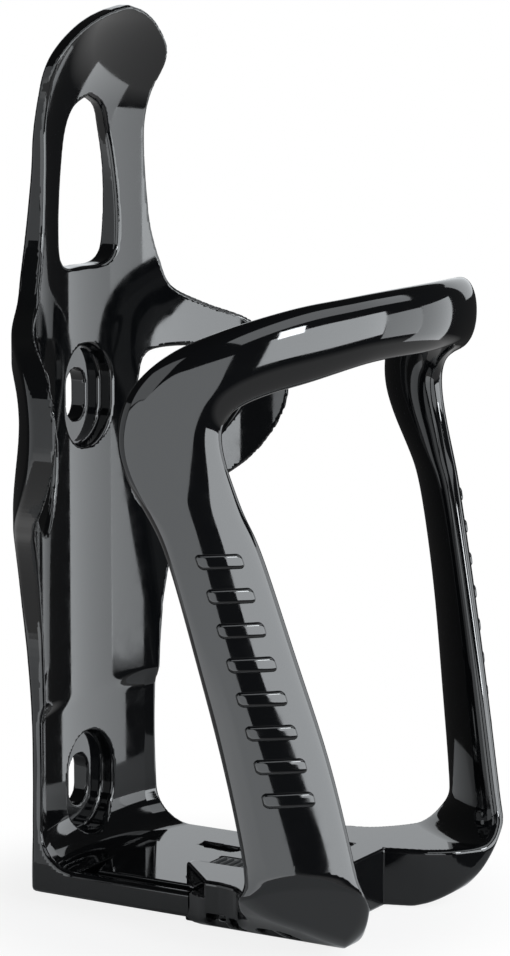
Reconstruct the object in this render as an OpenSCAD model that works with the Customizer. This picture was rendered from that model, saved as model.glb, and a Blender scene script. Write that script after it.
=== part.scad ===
// Bicycle bottle cage in two moulded halves: a back frame that bolts to the
// frame tube and a front hoop that slides on the frame's tray to suit the bottle.
// Millimetres. X runs across the cage, Y runs from the bottle towards the bicycle
// frame with the mounting plane at Y = 0, Z runs up along the bottle. The origin is
// midway between the bolt slots; heights below are above the lowest face of the feet.

/* [Mounting] */
// Distance between the two bolt slots
slot_spacing = 64; // [62:0.5:66]
// Height of the lower bolt slot above the lowest face
lower_slot_z = 16.6; // [16:0.1:17.5]
// Width of a bolt slot
slot_w = 5.5; // [5.2:0.1:6.5]
// Length of a bolt slot from end to end
slot_len = 8.4; // [7:0.2:10]
// Width of the recess round each bolt slot
pocket_w = 13.6; // [12:0.2:14.4]
// Length of the recess round each bolt slot
pocket_len = 16.6; // [15:0.2:18]
// Thickness of plastic under the bolt head
pocket_floor = 2.4; // [1.8:0.1:3]

/* [Back frame] */
// Gap from the mounting plane to the face that the bottle touches
spine_face = 5; // [4.6:0.1:6]
// Radius of the hollow face that the bottle lies against
shell_r = 52; // [48:1:60]
// Wall of the back frame at its two ends
shell_t = 2.5; // [2.2:0.1:3]
// Wall of the back frame at the ears
ear_t = 3.8; // [3.2:0.1:4.2]
// Half width of the spine beside the lower slot
spine_low_x = 17.4; // [16.5:0.1:18]
// Half width of the spine beside the window
spine_top_x = 14.8; // [13.5:0.1:16]
// Half span across the two ears
ear_x = 35.5; // [34:0.5:37]
// Height of the ears
ear_z = 80; // [79:0.5:81]
// Height of the crease where the top of the spine leans forward
lean_z = 133.2; // [132:0.2:135]
// Angle through which the top leans forward
lean_deg = 42; // [35:1:46]
// Half width of the tray
tray_x = 18.2; // [17.8:0.1:19]
// Thickness of the tray
tray_h = 4; // [3.8:0.1:4.6]
// Radius of the cove between spine and tray
cove_r = 6.5; // [4:0.5:7.5]

/* [Front hoop] */
// Distance from the mounting plane to the centre of the hoop
hoop_y = 26.7; // [26:0.1:28]
// Outside radius of the hoop at its front
hoop_r = 43.2; // [42.5:0.1:44.5]
// Thickness of the hoop band
band_t = 5.2; // [4.6:0.1:6]
// Thickness of the legs
leg_t = 4.6; // [4:0.1:5.4]
// Height of the top of the hoop at its front
hoop_top = 102.1; // [101:0.1:104]
// Depth of the hoop band at its front
hoop_h = 10.4; // [9.4:0.1:11.4]
// Floor of the hoop under the tray
sole_t = 2.1; // [1.8:0.1:2.4]
// Flange of the feet over the tray
flange_t = 2.8; // [2.4:0.1:3.4]
// Wall of the feet beside the tray
foot_wall = 2; // [1.6:0.1:2.6]
// Sliding gap between hoop and tray
slide_gap = 0.3; // [0.25:0.05:0.4]

/* [Lock] */
// Thickness of the tongue that lies in the tray
tongue_t = 2.1; // [1.9:0.1:2.3]
// Width of the lock lever
lever_w = 10; // [9:0.2:10.6]
// Distance from the middle of the cage to the middle of the lever
lever_x = 4.2; // [4:0.1:4.8]
// Gap round the lever
lever_gap = 0.3; // [0.25:0.05:0.4]
// Diameter of the lever pin
pin_d = 1.6; // [1.4:0.1:1.7]
// Distance between the lock notches
notch_pitch = 5; // [5:0.1:5.2]

/* [Hidden] */

// heights of the stack at the tray
tray_z0 = sole_t + slide_gap;
tray_z1 = tray_z0 + tray_h;
tongue_z0 = tray_z1 + 0.6 - tongue_t;
tongue_z1 = tray_z1 + 0.6;
recess_z = tongue_z0 - slide_gap;
flange_z0 = tray_z1 + slide_gap;
foot_top = flange_z0 + flange_t;
// hollow face of the back frame
face_y = -spine_face;
axis_y = face_y - shell_r;
upper_slot_z = lower_slot_z + slot_spacing;
mount_z = lower_slot_z + slot_spacing / 2;
foot_x = tray_x + slide_gap + foot_wall;
notch_y = -54.3;
tray_front = notch_y + 2.3;
flange_in = 10.5;
// bevel of the tray's lower corners, and where the sleeve of the feet starts
corner = 1.4;
sleeve_y = -37.4;
// lock lever, hinged in front of its press pad
lever_back = -30.3;
pin_y = -42.6;
pin_z = tongue_z1 - 0.3;
barrel_r = 1.6;
lever_front = pin_y - barrel_r;
hinge_lug = 2.4;
// stem of the lever, and the leaf spring whose nose it presses out of the notches
stem_y = pin_y + 9.4;
stem_w = 3.2;
stem_len = 2.4;
travel = 3 * notch_pitch;
nose_r = 1;
leaf_t = 0.3;
leaf_w = lever_w - 2;
leaf_z = sole_t - leaf_t - 0.08;
leaf_front = pin_y - 5.4;
leaf_back = stem_y + 1.3;
// tongue: left and right edge, back edge, and the slit for the finger
tongue_left = tray_x - 2.2;
tongue_right = tray_x - 3.8;
tongue_back = face_y - 8.9;
slit_x = 4;
slit_w = 3.6;
prong_back = pin_y + 20.6;
slit_front = pin_y + 12;
foot_back = lever_back - 1;

// points of a smooth open curve through p, three steps to each span
function curve(p, n = 3) = [
    for (i = [0 : len(p) - 2], k = [0 : n - 1]) let (
        t = k / n,
        a = p[max(i - 1, 0)], b = p[i], c = p[i + 1], d = p[min(i + 2, len(p) - 1)])
        0.5 * (2 * b + (c - a) * t + (2 * a - 5 * b + 4 * c - d) * t * t
        + (3 * b - a - 3 * c + d) * t * t * t),
    p[len(p) - 1]];
// points of a smooth closed curve through p
function ring(p, n = 4) = [
    for (i = [0 : len(p) - 1], k = [0 : n - 1]) let (
        m = len(p), t = k / n,
        a = p[(i + m - 1) % m], b = p[i], c = p[(i + 1) % m], d = p[(i + 2) % m])
        0.5 * (2 * b + (c - a) * t + (2 * a - 5 * b + 4 * c - d) * t * t
        + (3 * b - a - 3 * c + d) * t * t * t)];
function flip(p) = [for (i = [len(p) - 1 : -1 : 0]) [-p[i][0], p[i][1]]];
function both(p) = concat(p, flip(p));

// heights counted from the middle of the bolt slots
module placed() {
    translate([0, 0, -mount_z]) children();
}
// outline in the front view (across, up) pushed from y0 to y1
module front_cut(y0, y1) {
    translate([0, y1, 0]) rotate([90, 0, 0]) linear_extrude(y1 - y0) children();
}
// outline in the side view (Y, Z) pushed from x0 to x1
module side_cut(x0, x1) {
    translate([x0, 0, 0]) rotate([90, 0, 90]) linear_extrude(x1 - x0) children();
}
module pill(w, l) {
    translate([0, (l - w) / 2]) circle(d = w, $fn = 48);
    translate([0, (w - l) / 2]) circle(d = w, $fn = 48);
    if (l > w) square([w, l - w], center = true);
}

// back frame

// right edge of the spine from the tray to the tip, taking in the ear
spine_edge = curve([
    [tray_x, tray_z0], [tray_x, tray_z1], [tray_x - 0.5, tray_z1 + 6], [spine_low_x, 22],
    [spine_low_x + 0.2, 32], [spine_low_x + 0.9, 42.4], [spine_low_x + 2, 49],
    [spine_low_x + 3.6, ear_z - 25], [spine_low_x + 6.2, ear_z - 20.2], [ear_x - 8.5, ear_z - 17],
    [ear_x - 3.8, ear_z - 12.6], [ear_x - 0.9, ear_z - 6.5], [ear_x, ear_z],
    [ear_x - 1, ear_z + 6.2], [ear_x - 4.2, ear_z + 10.8], [ear_x - 9.5, ear_z + 13.6],
    [spine_top_x + 5.3, ear_z + 17], [spine_top_x + 3.1, ear_z + 21.4],
    [spine_top_x + 1.3, ear_z + 27], [spine_top_x + 0.4, ear_z + 34], [spine_top_x, ear_z + 41],
    [spine_top_x + 0.4, lean_z - 5], [spine_top_x + 1.5, lean_z - 0.5],
    [spine_top_x + 1.1, lean_z + 2.2], [spine_top_x - 0.5, lean_z + 4.2],
    [spine_top_x - 2.8, lean_z + 6], [spine_top_x - 6, lean_z + 7.8],
    [spine_top_x - 10, lean_z + 9.2], [0, lean_z + 10.1]]);
ear_hole = ring([
    [14.2, ear_z + 5.6], [11.3, ear_z + 0.4], [10.2, ear_z - 6], [11, ear_z - 11.8],
    [12.6, ear_z - 16.6], [14.9, ear_z - 19.4], [17.6, ear_z - 18.8], [22, ear_z - 14.6],
    [ear_x - 9, ear_z - 9.6], [ear_x - 5.6, ear_z - 3.6], [ear_x - 4.7, ear_z + 1.6],
    [ear_x - 6.3, ear_z + 5.4], [ear_x - 10.5, ear_z + 7.1], [17.6, ear_z + 7.4]]);
window_edge = curve([
    [0, ear_z + 21.6], [5, ear_z + 21.7], [7.8, ear_z + 23.2], [8.5, ear_z + 26.4],
    [8.3, ear_z + 32], [7.4, ear_z + 38], [6.1, ear_z + 43], [4, ear_z + 47], [0, ear_z + 48.8]]);

// half section of the hollow wall: upright, then a crease and a lean forward at the top
module wall_section() {
    t = shell_t;
    rise = t * tan(lean_deg / 2);
    tip = 14;
    polygon([[shell_r, tray_z0], [shell_r + t, tray_z0], [shell_r + t, 26],
        [shell_r + ear_t - 0.2, ear_z - 31], [shell_r + ear_t, ear_z - 18],
        [shell_r + ear_t, ear_z + 12], [shell_r + ear_t - 0.3, ear_z + 26],
        [shell_r + t + 0.2, ear_z + 41], [shell_r + t, lean_z + rise],
        [shell_r + t - tip * sin(lean_deg), lean_z + rise + tip * cos(lean_deg)],
        [shell_r - tip * sin(lean_deg), lean_z + tip * cos(lean_deg)], [shell_r, lean_z]]);
    // cove down to the tray
    translate([shell_r - cove_r, tray_z1 - 0.5]) difference() {
        square([cove_r + 0.5, cove_r + 0.5]);
        translate([0, cove_r + 0.5]) circle(r = cove_r, $fn = 96);
    }
}

module boss(z) {
    front_cut(face_y + 1, 0) translate([0, z]) pill(pocket_w + 4.4, pocket_len + 4.4);
}

module bolt_recess(z) {
    front_cut(face_y - 9, -pocket_floor) translate([0, z]) pill(pocket_w, pocket_len);
    front_cut(-pocket_floor - 1, 1) translate([0, z]) pill(slot_w, slot_len);
}

// shelf of the tray, with its lower corners bevelled where the feet wrap round it
module tray_body() {
    difference() {
        intersection() {
            translate([-tray_x, tray_front, tray_z0]) cube([2 * tray_x, -tray_front, tray_h]);
            translate([0, axis_y, 0]) cylinder(r = shell_r + shell_t, h = 30, $fn = 180);
        }
        for (s = [-1, 1]) front_cut(tray_front - 1, sleeve_y + 1)
            polygon([[s * (tray_x - corner), tray_z0 - 0.01], [s * (tray_x + 1), tray_z0 - 0.01],
                [s * (tray_x + 1), tray_z0 + corner + 1]]);
    }
}

// hollow in the tray top for the tongue, with the finger left standing
module tongue_recess() {
    g = slide_gap;
    x1 = slit_x + slit_w;
    translate([0, 0, recess_z]) linear_extrude(10) difference() {
        translate([-tongue_left - g, tray_front - 1])
            square([tongue_left + tongue_right + 2 * g, tongue_back - tray_front + 1 + g]);
        translate([slit_x + g, prong_back + g]) square([40, 20]);
        polygon([[slit_x + g, prong_back + 2], [x1 - g, prong_back + 2], [x1 - 0.6 - g, slit_front + 1.4],
            [slit_x + 1.6, slit_front + 0.4], [slit_x + g, slit_front + 1.6]]);
    }
}

// slot through the tray for the stem, whose ends stop the slide, and half-round
// notches under the tray for the nose of the spring
module lever_track() {
    slot_front = stem_y - travel - stem_len / 2 - 0.8;
    slot_back = stem_y + stem_len / 2 + slide_gap;
    translate([-lever_x - stem_w / 2 - 0.7, slot_front, tray_z0 - 1])
        cube([stem_w + 1.4, slot_back - slot_front, 20]);
    for (k = [0 : 3]) translate([-lever_x, stem_y - k * notch_pitch, tray_z0]) rotate([0, 90, 0])
        cylinder(r = nose_r + slide_gap, h = leaf_w + 1, center = true, $fn = 48);
}

module back_frame() {
    color([0.06, 0.06, 0.065]) placed() difference() {
        union() {
            intersection() {
                translate([0, axis_y, 0]) rotate_extrude($fn = 180) wall_section();
                front_cut(-40, 10) polygon(both(spine_edge));
            }
            tray_body();
            intersection() {
                union() {
                    boss(lower_slot_z);
                    boss(upper_slot_z);
                }
                translate([-20, -9, tray_z0]) cube([40, 9, 120]);
            }
        }
        for (s = [-1, 1]) front_cut(-40, 10) polygon([for (q = ear_hole) [s * q[0], q[1]]]);
        front_cut(-40, 10) polygon(both(window_edge));
        bolt_recess(lower_slot_z);
        bolt_recess(upper_slot_z);
        tongue_recess();
        lever_track();
    }
}

// front hoop

// a point on the hoop: angle from its front, distance from its axis, height
function hoop_at(a, r, z) = [r * sin(a), -hoop_y - r * cos(a), z];
// one station of the band: top or back edge, bottom or front edge, thickness
function station(a1, r1, z1, a2, r2, z2, t) = concat(hoop_at(a1, r1, z1), hoop_at(a2, r2, z2), [t]);
// from the front of the hoop round the elbow and down the leg into the foot
mid_r = hoop_r - band_t / 2;
gap_z = hoop_top - hoop_h;
half_band = [
    station(0, mid_r, hoop_top, 0, mid_r, gap_z, band_t),
    station(18.5, mid_r, hoop_top - 0.4, 18.5, mid_r, gap_z - 0.2, band_t),
    station(28, mid_r + 0.2, hoop_top - 1, 28, mid_r + 0.2, gap_z - 1.3, band_t),
    station(37, mid_r + 0.4, hoop_top - 1.7, 36.5, mid_r + 0.4, gap_z - 2.7, band_t),
    station(46.5, mid_r + 0.6, hoop_top - 3.2, 45.5, mid_r + 0.6, gap_z - 4.2, band_t),
    station(56, mid_r + 0.8, hoop_top - 5.3, 52, mid_r + 0.9, gap_z - 6.2, band_t),
    station(65.5, mid_r + 1.1, hoop_top - 8.4, 54.4, mid_r + 1.2, gap_z - 8.6, band_t),
    station(73, mid_r + 1.9, hoop_top - 13.6, 54.6, mid_r + 1.5, gap_z - 11.2, band_t),
    station(75.4, mid_r + 2.8, hoop_top - 20.4, 53.8, mid_r + 1.7, gap_z - 14.2, band_t),
    station(73.4, mid_r + 3.6, hoop_top - 26.2, 52.2, mid_r + 1.8, gap_z - 17.8, band_t),
    station(69.4, mid_r + 4.2, hoop_top - 31.4, 50, mid_r + 1.9, gap_z - 22.2, band_t),
    station(65.4, mid_r + 4.3, 64.4, 46.8, mid_r + 2.2, 64.4, leg_t),
    station(59.8, mid_r + 4.2, 48.4, 40.2, mid_r + 3.4, 48.4, leg_t),
    station(54.6, mid_r + 3.5, 32.4, 33.9, mid_r + 5, 32.4, leg_t),
    station(50.4, mid_r + 3.5, 16, 29.9, mid_r + 6.9, 16.4, leg_t),
    station(51.4, mid_r + 3.4, 11.5, 28.9, mid_r + 7.7, 11.5, leg_t + 0.2),
    station(53.5, mid_r + 3.2, 6, 28.4, mid_r + 7.8, 6, leg_t + 0.6)];
far_half = [for (i = [1 : len(half_band) - 1]) half_band[i]];
near_half = [for (i = [len(half_band) - 1 : -1 : 1]) let (q = half_band[i])
    [-q[0], q[1], q[2], -q[3], q[4], q[5], q[6]]];
band_line = curve(concat(near_half, [half_band[0]], far_half), 2);

// rounded section of the band at one station, seen along the band
section_n = 20;
function soft(v) = sign(v) * pow(abs(v), 0.94);
function unit(v) = v / norm(v);
function band_ring(i) = let (
    q = band_line[i],
    before = band_line[max(i - 1, 0)], after = band_line[min(i + 1, len(band_line) - 1)],
    top = [q[0], q[1], q[2]], low = [q[3], q[4], q[5]],
    ahead = [after[0] + after[3], after[1] + after[4], after[2] + after[5]]
        - [before[0] + before[3], before[1] + before[4], before[2] + before[5]],
    across = (top - low) / 2, out = unit(cross(ahead, across)) * q[6] / 2)
    [for (k = [0 : section_n - 1]) let (a = 360 * k / section_n)
        (top + low) / 2 + across * soft(cos(a)) + out * soft(sin(a))];

module band_and_legs() {
    m = len(band_line);
    n = section_n;
    polyhedron([for (i = [0 : m - 1]) each band_ring(i)],
        concat([[for (k = [0 : n - 1]) k]], [[for (k = [n - 1 : -1 : 0]) (m - 1) * n + k]],
            [for (i = [0 : m - 2], k = [0 : n - 1]) each [
                [i * n + k, (i + 1) * n + k, (i + 1) * n + (k + 1) % n],
                [i * n + k, (i + 1) * n + (k + 1) % n, i * n + (k + 1) % n]]]), convexity = 8);
}

// front view of the hull that bounds the feet from below
hull_edge = curve([[12.5, 0], [16, 0.9], [20, 2.5], [25, 5.3], [30, 8.2], [34, 11.4]]);
// side view of the rounded toe
toe_edge = curve([[-58.6, 0], [-61.8, 1], [-65, 3], [-67.6, 6], [-69, 9.4], [-69.4, 12.5]]);
// plan angle that the outside of a leg faces at its foot, its distance out, and the height from
// which it leans inwards
leg_turn = -38.1;
leg_out = 62.9;
lean_top = 14.8;
lean = 0.56;

module leg_outside() {
    rotate([0, 0, leg_turn]) rotate([90, 0, 0]) linear_extrude(240, center = true)
        polygon([[-120, 0], [leg_out - lean * lean_top, 0], [leg_out, lean_top], [120, lean_top],
            [120, 120], [-120, 120]]);
}

// room that the legs and their feet fill: underside, toe and the leaning outside
module foot_bound() {
    intersection() {
        front_cut(-90, 0) polygon(both(concat(hull_edge, [[35, 14.8], [60, 14.8], [60, 120]])));
        side_cut(-60, 60) polygon(concat(toe_edge, [[-69.4, 14], [-90, 14], [-90, 120], [0, 120],
            [0, 0]]));
        leg_outside();
        mirror([1, 0, 0]) leg_outside();
    }
}

// plan of one foot block, from the bevelled back end to the toe
module foot_plan() {
    polygon(concat(
        [[flange_in, foot_back], [12.4, foot_back], [foot_x, foot_back - 8.3]],
        curve([[foot_x, -43.5], [foot_x + 1.8, -47.4], [foot_x + 6, -50.6], [foot_x + 11, -54],
            [foot_x + 12.6, -57.6], [foot_x + 10, -62.4], [foot_x + 6, -67.2],
            [foot_x + 2.9, -68.5], [foot_x - 1, -67.6], [15.6, -65], [12.8, -61]]),
        [[flange_in, notch_y]]));
}

module feet() {
    linear_extrude(foot_top) {
        foot_plan();
        mirror([1, 0]) foot_plan();
        // bridge in front of the tray
        translate([-flange_in - 1, notch_y]) square([2 * flange_in + 2, 6.3]);
    }
}

// floor plate under the tray, tied to the feet
module sole() {
    translate([-13, notch_y, 0]) cube([26, foot_back - notch_y, sole_t]);
}

// tongue lying in the tray, with the long and the short prong
module tongue() {
    x1 = slit_x + slit_w;
    translate([0, 0, tongue_z0]) linear_extrude(tongue_t) difference() {
        union() {
            intersection() {
                translate([-tongue_left, notch_y])
                    square([tongue_left + slit_x, tongue_back - notch_y]);
                translate([0, axis_y]) circle(r = tongue_back - axis_y, $fn = 180);
            }
            translate([x1, notch_y]) square([tongue_right - x1, prong_back - notch_y]);
            translate([slit_x - 1, notch_y]) square([slit_w + 2.4, slit_front + 0.4 - notch_y]);
        }
        // notch that fits over the pointed finger
        polygon([[slit_x, prong_back + 2], [x1, prong_back + 2], [x1, prong_back],
            [x1 - 0.6, slit_front + 1], [slit_x + 1.6, slit_front], [slit_x, slit_front + 1.2]]);
    }
}

// pockets cored out under the lower edge of a foot, each with a stiffening rib
module core_outs() {
    for (s = [-1, 1], y = [-43.2, -52.9]) translate([s * (foot_x - 0.2), y, 0]) difference() {
        intersection() {
            translate([0, 0, -1]) cylinder(r = 3.2, h = 5.2, $fn = 48);
            translate([s * 3.8, 0, 0]) cube([10, 20, 20], center = true);
        }
        translate([-5, -1.3, -2]) cube([10, 1, 9]);
    }
}

// room for the tray and its rims
module tray_way() {
    g = slide_gap;
    x = tray_x + g;
    front_cut(tray_front - g, 20) polygon([[corner - x, tray_z0 - g], [x - corner, tray_z0 - g],
        [x, tray_z0 - g + corner], [x, tongue_z0], [-x, tongue_z0], [-x, tray_z0 - g + corner]]);
    translate([-x, tray_front - g, tongue_z0 - g])
        cube([x - tongue_left, 80, flange_z0 - tongue_z0 + g]);
    translate([tongue_right, tray_front - g, tongue_z0 - g])
        cube([x - tongue_right, 80, flange_z0 - tongue_z0 + g]);
}

module lever_way() {
    g = lever_gap;
    translate([-lever_x - lever_w / 2 - g, lever_front - g, tongue_z0 - 2])
        cube([lever_w + 2 * g, lever_back - lever_front + 2 * g, 20]);
}

// cylinder along the hinge line
module hinge_rod(d, l) {
    translate([-lever_x, pin_y, pin_z]) rotate([0, 90, 0]) cylinder(d = d, h = l, center = true, $fn = 32);
}

// two lugs that carry the ends of the pin
module hinge_lugs() {
    l = lever_w + 2 * lever_gap + 2 * hinge_lug;
    hinge_rod(2 * barrel_r + 0.4, l);
    translate([-lever_x - l / 2, pin_y - barrel_r - 0.2, tongue_z0])
        cube([l, 2 * barrel_r + 0.4, pin_z - tongue_z0]);
}

// seat for the foot of the leaf spring, with room below its nose to bend down
module spring_seat() {
    w = leaf_w + 2 * lever_gap;
    translate([-lever_x - w / 2, leaf_front - lever_gap, leaf_z - 0.02])
        cube([w, foot_back - leaf_front + 1, sole_t]);
    translate([-lever_x - w / 2, pin_y + barrel_r, 0.8])
        cube([w, foot_back - pin_y, sole_t]);
}

module front_hoop() {
    color([0.05, 0.05, 0.055]) placed() difference() {
        union() {
            intersection() {
                union() {
                    band_and_legs();
                    difference() {
                        feet();
                        tray_way();
                    }
                }
                foot_bound();
            }
            difference() {
                sole();
                tray_way();
            }
            tongue();
            hinge_lugs();
        }
        core_outs();
        lever_way();
        spring_seat();
        hinge_rod(pin_d, lever_w + 2 * lever_gap + 2 * hinge_lug + 1);
    }
}

// lock lever: press pad at the back, stem down to the spring, hinge at the front
module lock_lever() {
    w = lever_w;
    color([0.11, 0.11, 0.115]) placed() difference() {
        union() {
            side_cut(-lever_x - w / 2, -lever_x + w / 2) polygon([[pin_y, tongue_z1],
                [pin_y, pin_z - barrel_r + 0.3], [lever_back, tongue_z1 - 0.85],
                [lever_back, tongue_z1]]);
            hinge_rod(2 * barrel_r, w);
            // ridges of the press pad
            for (k = [0 : 4]) translate([-lever_x, lever_back - 0.9 - k * 1.3, tongue_z1])
                rotate([0, 90, 0]) cylinder(r = 0.3, h = w - 1.6, center = true, $fn = 24);
            // stem through the slot, ending just above the nose of the spring
            translate([-lever_x - stem_w / 2, stem_y - stem_len / 2, tray_z0 + nose_r + 0.05])
                cube([stem_w, stem_len, tongue_z1 - 0.5 - tray_z0 - nose_r - 0.05]);
        }
        hinge_rod(pin_d + 0.12, w + 1);
    }
}

module lever_pin() {
    color([0.72, 0.73, 0.75]) placed()
        hinge_rod(pin_d - 0.02, lever_w + 2 * lever_gap + 2 * hinge_lug);
}

// leaf spring: flat foot in its seat, and a formed nose that stands in a notch of the tray
module lever_spring() {
    r = nose_r - leaf_t;
    color([0.62, 0.63, 0.65]) placed() side_cut(-lever_x - leaf_w / 2, -lever_x + leaf_w / 2)
        difference() {
            union() {
                translate([leaf_front, leaf_z]) square([leaf_back - leaf_front, leaf_t]);
                translate([stem_y, tray_z0]) circle(r = nose_r, $fn = 48);
                translate([stem_y - nose_r, leaf_z]) square([2 * nose_r, tray_z0 - leaf_z]);
            }
            translate([stem_y, tray_z0]) circle(r = r, $fn = 48);
            translate([stem_y - r, leaf_z - 1]) square([2 * r, tray_z0 - leaf_z + 1]);
        }
}

back_frame();
front_hoop();
lock_lever();
lever_pin();
lever_spring();
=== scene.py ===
import math

import bpy
import numpy as np
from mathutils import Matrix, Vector
from mathutils.bvhtree import BVHTree


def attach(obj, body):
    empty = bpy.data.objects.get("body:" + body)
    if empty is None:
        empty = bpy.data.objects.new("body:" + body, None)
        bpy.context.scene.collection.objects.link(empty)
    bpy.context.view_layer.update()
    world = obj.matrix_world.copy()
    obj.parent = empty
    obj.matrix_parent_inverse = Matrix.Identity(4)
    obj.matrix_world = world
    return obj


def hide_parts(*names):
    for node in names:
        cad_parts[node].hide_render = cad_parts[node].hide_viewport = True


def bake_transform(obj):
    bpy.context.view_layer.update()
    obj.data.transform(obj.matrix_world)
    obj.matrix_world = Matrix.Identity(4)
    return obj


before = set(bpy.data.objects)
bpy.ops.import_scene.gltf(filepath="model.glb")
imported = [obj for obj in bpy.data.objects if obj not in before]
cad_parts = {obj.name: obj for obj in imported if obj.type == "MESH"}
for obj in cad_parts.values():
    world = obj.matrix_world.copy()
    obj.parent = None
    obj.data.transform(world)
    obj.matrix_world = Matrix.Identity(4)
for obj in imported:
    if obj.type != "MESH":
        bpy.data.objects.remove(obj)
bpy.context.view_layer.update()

# Back frame: the moulded half that bolts to the bicycle. Its spine is a curved wall that the
# bottle lies against, with two ears, a leaning tip and a tray at the foot. It is one piece of
# glass-filled nylon, shaped here as a solid in millimetres and skinned with rounded edges.
# Heights are counted from the lowest face of the cage, the underside of the hoop's sole.
LOWEST_FACE = -48.6
# the wall is part of a tube round an axis in the bottle, and is thicker where the ears are
SPINE_AXIS_Y = -57.0
SPINE_FACE_R = 52.0
WALL = 2.5
EAR_EXTRA = 1.3
TIP_HEIGHT = 133.2
TIP_LEAN = math.radians(42)
TRAY_BOTTOM = 2.4
TRAY_TOP = 6.4
TRAY_FRONT = -52.0
COVE_R = 6.0
# heights between which the wall grows thicker for the ears, thinner again above them, and between
# which its flatter lower part ends, with how it flattens away from the middle
THICKER = (24, 60)
THINNER = (98, 126)
FLAT_END = (29.5, 33.5)
FLATTER, FLAT_MOST = 0.0032, 0.7
# the ears bend in beyond a half width, and the tip meets the wall in a round on each face
WRAP_FROM, WRAP = 20, 0.012
TIP_FACE_R, TIP_BACK_R = 7.0, 9.0
# bolt slots, the recesses round them and the pads behind them, each by its width and length
SLOT_HEIGHTS = (16.6, 80.6)
SLOT = (5.5, 8.4)
RECESS = (13.6, 16.6)
RECESS_FLOOR_Y = -2.9
PAD = (18.0, 21.0)
PAD_DEEP = 4.0
# the lock stands a little left of the middle, and catches in a row of notches under the tray
LOCK_X = -4.2
NOTCH_R = 1.3
NOTCH_HALF = 4.5
NOTCH_FIRST, NOTCH_PITCH = -33.2, 5.0
NOTCH_ROW = [NOTCH_FIRST - NOTCH_PITCH * step for step in range(4)]
# floor of the hollow for the tongue, and half width and ends of the slot for the lever's stem
HOLLOW_FLOOR = 4.6
STEM_HALF = 2.3
STEM_FRONT, STEM_BACK = -50.2, -31.7


def smooth_line(points, steps, closed=False):
    """A smooth line through the points, with so many steps from each point to the next."""
    points = np.array(points, float)
    count = len(points)
    line = []
    for i in range(count if closed else count - 1):
        if closed:
            a, b, c, d = (points[(i + k) % count] for k in (-1, 0, 1, 2))
        else:
            a, b = points[max(i - 1, 0)], points[i]
            c, d = points[i + 1], points[min(i + 2, count - 1)]
        for k in range(steps):
            t = k / steps
            line.append(0.5 * (2 * b + (c - a) * t + (2 * a - 5 * b + 4 * c - d) * t ** 2
                               + (3 * b - a - 3 * c + d) * t ** 3))
    if not closed:
        line.append(points[-1])
    return np.array(line)


def outline_depth(outline, cell=0.2, margin=9.0):
    """Distance to a closed outline, negative inside it, as a function of two coordinates."""
    outline = np.array(outline, float)
    low = outline.min(0) - margin
    size = np.ceil((outline.max(0) + margin - low) / cell).astype(int) + 1
    u = low[0] + cell * np.arange(size[0])[:, None]
    v = low[1] + cell * np.arange(size[1])[None, :]
    nearest = np.full((size[0], size[1]), 1e9)
    inside = np.zeros((size[0], size[1]), bool)
    for (u0, v0), (u1, v1) in zip(outline, np.roll(outline, -1, 0)):
        length = (u1 - u0) ** 2 + (v1 - v0) ** 2
        if length < 1e-12:
            continue
        along = np.clip(((u - u0) * (u1 - u0) + (v - v0) * (v1 - v0)) / length, 0, 1)
        gap = (u - u0 - along * (u1 - u0)) ** 2 + (v - v0 - along * (v1 - v0)) ** 2
        nearest = np.minimum(nearest, gap)
        if v0 != v1:
            crossing = u0 + (v - v0) * (u1 - u0) / (v1 - v0)
            inside ^= ((v0 > v) != (v1 > v)) & (u < crossing)
    table = np.sqrt(nearest) * np.where(inside, -1, 1)

    def depth(a, b):
        s = np.clip((a - low[0]) / cell, 0, size[0] - 1.001)
        t = np.clip((b - low[1]) / cell, 0, size[1] - 1.001)
        i, j = s.astype(int), t.astype(int)
        s, t = s - i, t - j
        return ((table[i, j] * (1 - s) + table[i + 1, j] * s) * (1 - t)
                + (table[i, j + 1] * (1 - s) + table[i + 1, j + 1] * s) * t)
    return depth


def cut(a, b, edge):
    """What two solids share, with the edge between them rounded to that radius."""
    return (np.minimum(-edge, np.maximum(a, b))
            + np.hypot(np.maximum(a + edge, 0), np.maximum(b + edge, 0)))


def join(a, b, fillet):
    """Two solids made one, with a fillet of that radius where they meet."""
    return -cut(-a, -b, fillet)


def ease(value, start, end):
    """Rises smoothly from 0 at start to 1 at end."""
    t = np.clip((value - start) / (end - start), 0, 1)
    return t * t * t * (t * (6 * t - 15) + 10)


def pill(u, v, width, length):
    """Distance to a slot shape of that width, standing on end."""
    return np.hypot(u, np.maximum(np.abs(v) - (length - width) / 2, 0)) - width / 2


def block(x, y, h, low, high):
    """Distance to a square block between two corners."""
    return np.maximum.reduce(np.broadcast_arrays(
        low[0] - x, x - high[0], low[1] - y, y - high[1], low[2] - h, h - high[2]))


def mesh_object(name, points, faces):
    """Smooth mesh object in the scene, from points in millimetres with heights."""
    mesh = bpy.data.meshes.new(name)
    placed = (np.asarray(points) + (0, 0, LOWEST_FACE)) / 1000
    mesh.from_pydata(placed.tolist(), [], faces)
    mesh.polygons.foreach_set("use_smooth", [True] * len(faces))
    mesh.update()
    piece = bpy.data.objects.new(name, mesh)
    bpy.context.scene.collection.objects.link(piece)
    return piece


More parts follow.
